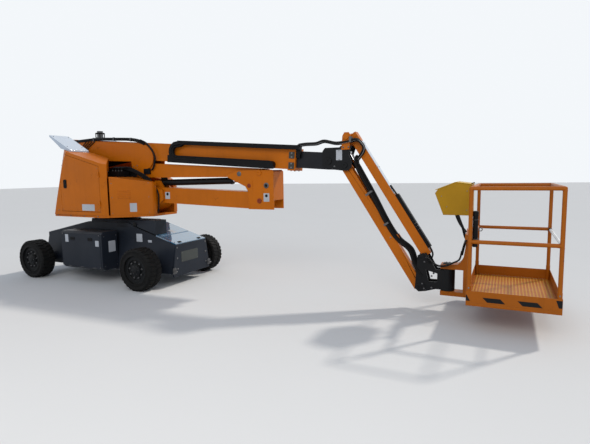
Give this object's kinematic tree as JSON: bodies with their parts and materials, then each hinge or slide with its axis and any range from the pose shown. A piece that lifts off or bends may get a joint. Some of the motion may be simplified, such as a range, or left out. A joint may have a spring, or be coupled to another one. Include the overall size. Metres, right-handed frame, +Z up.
{
  "type": "articulating boom lift",
  "caption": "Battery-driven articulating boom lift: steered chassis, slewing turret, folding risers, telescopic boom, jib and a railed work platform.",
  "frame": {"origin": "the ground under the slew axis, level with the tyres' contact", "axes": "+X forward to the platform, +Y to the machine's left, +Z up"},
  "size_m": [6.8487, 1.5, 2.125],
  "materials": {
    "orange_paint": "warm orange machine paint, satin, dusty",
    "chassis_paint": "dark blue-grey paint, satin",
    "lid_gloss": "dark blue-grey gloss cover",
    "black_paint": "black paint, satin",
    "dark_grey_paint": "dark grey paint",
    "tyre_rubber": "solid black rubber, dusty",
    "rim_paint": "dark grey paint, worn",
    "cast_weight": "painted cast iron",
    "cap_white": "pale grey glossy plastic",
    "chain_plastic": "black plastic",
    "rod_chrome": "hard chrome",
    "rail_paint": "warm orange paint",
    "deck_paint": "yellow-orange paint with a grooved tread",
    "console_yellow": "yellow plastic cover",
    "bar_grey": "light grey bar",
    "beacon_glass": "white dome on a black base",
    "axle_steel": "dark steel"
  },
  "bodies": {
    "chassis": {"chassis_frame": "chassis_paint", "battery_box_right": "chassis_paint", "battery_box_left": "chassis_paint", "charger_housing": "chassis_paint", "slew_ring": "black_paint", "rear_hub_left": "axle_steel", "rear_hub_right": "axle_steel"},
    "knuckle_left": {"steer_knuckle_left": "axle_steel"},
    "knuckle_right": {"steer_knuckle_right": "axle_steel"},
    "front_lid": {"front_lid": "lid_gloss"},
    "turret": {"turret_base": "orange_paint", "hood_right": "orange_paint", "hood_left": "orange_paint", "hood_cap_right": "cap_white", "hood_cap_left": "cap_white", "front_cover_right": "orange_paint", "front_cover_left": "orange_paint", "counterweight": "cast_weight"},
    "hood_door_right": {"hood_door_right": "orange_paint"},
    "hood_door_left": {"hood_door_left": "orange_paint"},
    "lower_riser": {"lower_riser": "orange_paint"},
    "elbow": {"elbow": "orange_paint"},
    "upper_riser": {"upper_riser": "orange_paint"},
    "riser_cylinder": {"riser_cylinder": "black_paint"},
    "riser_rod": {"riser_rod": "rod_chrome"},
    "mast": {"mast": "orange_paint", "beacon": "beacon_glass"},
    "boom_cylinder": {"boom_cylinder": "black_paint"},
    "boom_rod": {"boom_rod": "rod_chrome"},
    "outer_boom": {"outer_boom": "orange_paint", "chain_tray": "chain_plastic"},
    "inner_boom": {"inner_boom": "dark_grey_paint", "chain_channel": "chain_plastic"},
    "chain_bend": {"chain_bend": "chain_plastic"},
    "jib_knuckle": {"jib_knuckle": "black_paint", "jib_ears": "orange_paint"},
    "jib_lower_arm": {"jib_lower_arm": "orange_paint"},
    "jib_upper_arm": {"jib_upper_arm": "orange_paint"},
    "jib_cylinder": {"jib_cylinder": "black_paint"},
    "jib_rod": {"jib_rod": "rod_chrome"},
    "platform_bracket": {"platform_bracket": "black_paint"},
    "platform": {"platform_mount": "orange_paint", "platform_floor": "deck_paint", "toe_boards": "rail_paint", "guard_rails": "rail_paint", "control_console": "console_yellow"},
    "entry_bar": {"entry_bar": "bar_grey"},
    "wheel_front_left": {"tyre_front_left": "tyre_rubber", "rim_front_left": "rim_paint"},
    "wheel_front_right": {"tyre_front_right": "tyre_rubber", "rim_front_right": "rim_paint"},
    "wheel_rear_left": {"tyre_rear_left": "tyre_rubber", "rim_rear_left": "rim_paint"},
    "wheel_rear_right": {"tyre_rear_right": "tyre_rubber", "rim_rear_right": "rim_paint"}
  },
  "joints": [
    {"name": "steer_left", "type": "hinge", "parent": "chassis", "child": "knuckle_left", "pos_m": [1, 0.455, 0.27], "axis": [0, 0, 1], "range_deg": [-35, 35]},
    {"name": "steer_right", "type": "hinge", "parent": "chassis", "child": "knuckle_right", "pos_m": [1, -0.455, 0.27], "axis": [0, 0, 1], "range_deg": [-35, 35]},
    {"name": "spin_front_left", "type": "hinge", "parent": "knuckle_left", "child": "wheel_front_left", "pos_m": [1, 0.645, 0.27], "axis": [0, 1, 0], "continuous": true},
    {"name": "spin_front_right", "type": "hinge", "parent": "knuckle_right", "child": "wheel_front_right", "pos_m": [1, -0.645, 0.27], "axis": [0, 1, 0], "continuous": true},
    {"name": "spin_rear_left", "type": "hinge", "parent": "chassis", "child": "wheel_rear_left", "pos_m": [-1, 0.645, 0.27], "axis": [0, 1, 0], "continuous": true},
    {"name": "spin_rear_right", "type": "hinge", "parent": "chassis", "child": "wheel_rear_right", "pos_m": [-1, -0.645, 0.27], "axis": [0, 1, 0], "continuous": true},
    {"name": "front_lid_hinge", "type": "hinge", "parent": "chassis", "child": "front_lid", "pos_m": [0.62, 0, 0.75817], "axis": [0, -1, 0], "range_deg": [0, 30]},
    {"name": "slew", "type": "hinge", "parent": "chassis", "child": "turret", "pos_m": [0, 0, 0.89], "axis": [0, 0, 1], "range_deg": [-175, 175]},
    {"name": "hood_door_right_hinge", "type": "hinge", "parent": "turret", "child": "hood_door_right", "pos_m": [0.3555, -0.65, 1.2], "axis": [0, 0, 1], "range_deg": [0, 100]},
    {"name": "hood_door_left_hinge", "type": "hinge", "parent": "turret", "child": "hood_door_left", "pos_m": [0.3555, 0.65, 1.2], "axis": [0, 0, -1], "range_deg": [0, 100]},
    {"name": "riser", "type": "hinge", "parent": "turret", "child": "lower_riser", "pos_m": [0.56, 0, 1.19], "axis": [0, -1, 0], "range_deg": [0, 75]},
    {"name": "elbow_level", "type": "hinge", "parent": "lower_riser", "child": "elbow", "pos_m": [2.455, 0, 1.118], "axis": [0, -1, 0], "range_deg": [-75, 0]},
    {"name": "upper_riser", "type": "hinge", "parent": "elbow", "child": "upper_riser", "pos_m": [2.455, 0, 1.454], "axis": [0, -1, 0], "range_deg": [-75, 0]},
    {"name": "mast_level", "type": "hinge", "parent": "upper_riser", "child": "mast", "pos_m": [0.49, 0, 1.53], "axis": [0, -1, 0], "range_deg": [0, 75]},
    {"name": "riser_cylinder", "type": "hinge", "parent": "lower_riser", "child": "riser_cylinder", "pos_m": [0.8, 0, 1.34], "axis": [0, -1, 0], "range_deg": [-3.18, 0]},
    {"name": "riser_rod", "type": "slide", "parent": "riser_cylinder", "child": "riser_rod", "axis": [0.9998, 0, 0.0179], "range_m": [0, 0.24632]},
    {"name": "boom", "type": "hinge", "parent": "mast", "child": "outer_boom", "pos_m": [-0.85, 0, 1.885], "axis": [0, -1, 0], "range_deg": [0, 75]},
    {"name": "boom_cylinder", "type": "hinge", "parent": "mast", "child": "boom_cylinder", "pos_m": [-0.64, 0, 1.56], "axis": [0, -1, 0], "range_deg": [0, 71.55]},
    {"name": "boom_rod", "type": "slide", "parent": "boom_cylinder", "child": "boom_rod", "axis": [0.9902, 0, 0.1397], "range_m": [0, 0.46276]},
    {"name": "extend", "type": "slide", "parent": "outer_boom", "child": "inner_boom", "axis": [0.9972, 0, -0.075], "range_m": [0, 1.75]},
    {"name": "chain_travel", "type": "slide", "parent": "outer_boom", "child": "chain_bend", "axis": [0.9972, 0, -0.075], "range_m": [0, 0.875]},
    {"name": "knuckle_level", "type": "hinge", "parent": "inner_boom", "child": "jib_knuckle", "pos_m": [3.3282, 0, 1.5708], "axis": [0, -1, 0], "range_deg": [-75, 0]},
    {"name": "jib", "type": "hinge", "parent": "jib_knuckle", "child": "jib_lower_arm", "pos_m": [3.52, 0, 1.52], "axis": [0, -1, 0], "range_deg": [-12.5, 127.5]},
    {"name": "jib_upper", "type": "hinge", "parent": "jib_knuckle", "child": "jib_upper_arm", "pos_m": [3.54, 0, 1.83], "axis": [0, -1, 0], "range_deg": [-12.5, 127.5]},
    {"name": "platform_level", "type": "hinge", "parent": "jib_lower_arm", "child": "platform_bracket", "pos_m": [4.33938, 0, 0.23383], "axis": [0, -1, 0], "range_deg": [-127.5, 12.5]},
    {"name": "jib_cylinder", "type": "hinge", "parent": "jib_lower_arm", "child": "jib_cylinder", "pos_m": [4.08504, 0, 0.72985], "axis": [0, -1, 0], "range_deg": [-0.42, 4.29]},
    {"name": "jib_rod", "type": "slide", "parent": "jib_cylinder", "child": "jib_rod", "axis": [-0.5001, 0, 0.866], "range_m": [-0.25428, 0.02493]},
    {"name": "platform_turn", "type": "hinge", "parent": "platform_bracket", "child": "platform", "pos_m": [4.60998, 0, 0.21503], "axis": [0, 0, 1], "range_deg": [-90, 90]},
    {"name": "entry_bar_lift", "type": "slide", "parent": "platform", "child": "entry_bar", "axis": [0, 0, 1], "range_m": [0, 0.4]}
  ],
  "couplings": [
    {"joint": "steer_right", "follows": "steer_left", "ratio": 1},
    {"joint": "elbow_level", "follows": "riser", "ratio": -1},
    {"joint": "upper_riser", "follows": "riser", "ratio": -1},
    {"joint": "mast_level", "follows": "riser", "ratio": 1},
    {"joint": "riser_cylinder", "follows": "riser", "ratio": -0.042428},
    {"joint": "riser_rod", "follows": "riser", "m_per_rad": 0.18818},
    {"joint": "boom_cylinder", "follows": "boom", "ratio": 0.95396},
    {"joint": "boom_rod", "follows": "boom", "m_per_rad": 0.35352},
    {"joint": "chain_travel", "follows": "extend", "ratio": 0.5},
    {"joint": "knuckle_level", "follows": "boom", "ratio": -1},
    {"joint": "jib_upper", "follows": "jib", "ratio": 1},
    {"joint": "platform_level", "follows": "jib", "ratio": -1},
    {"joint": "jib_cylinder", "follows": "jib", "ratio": 0.033661},
    {"joint": "jib_rod", "follows": "jib", "m_per_rad": -0.11427}
  ]
}
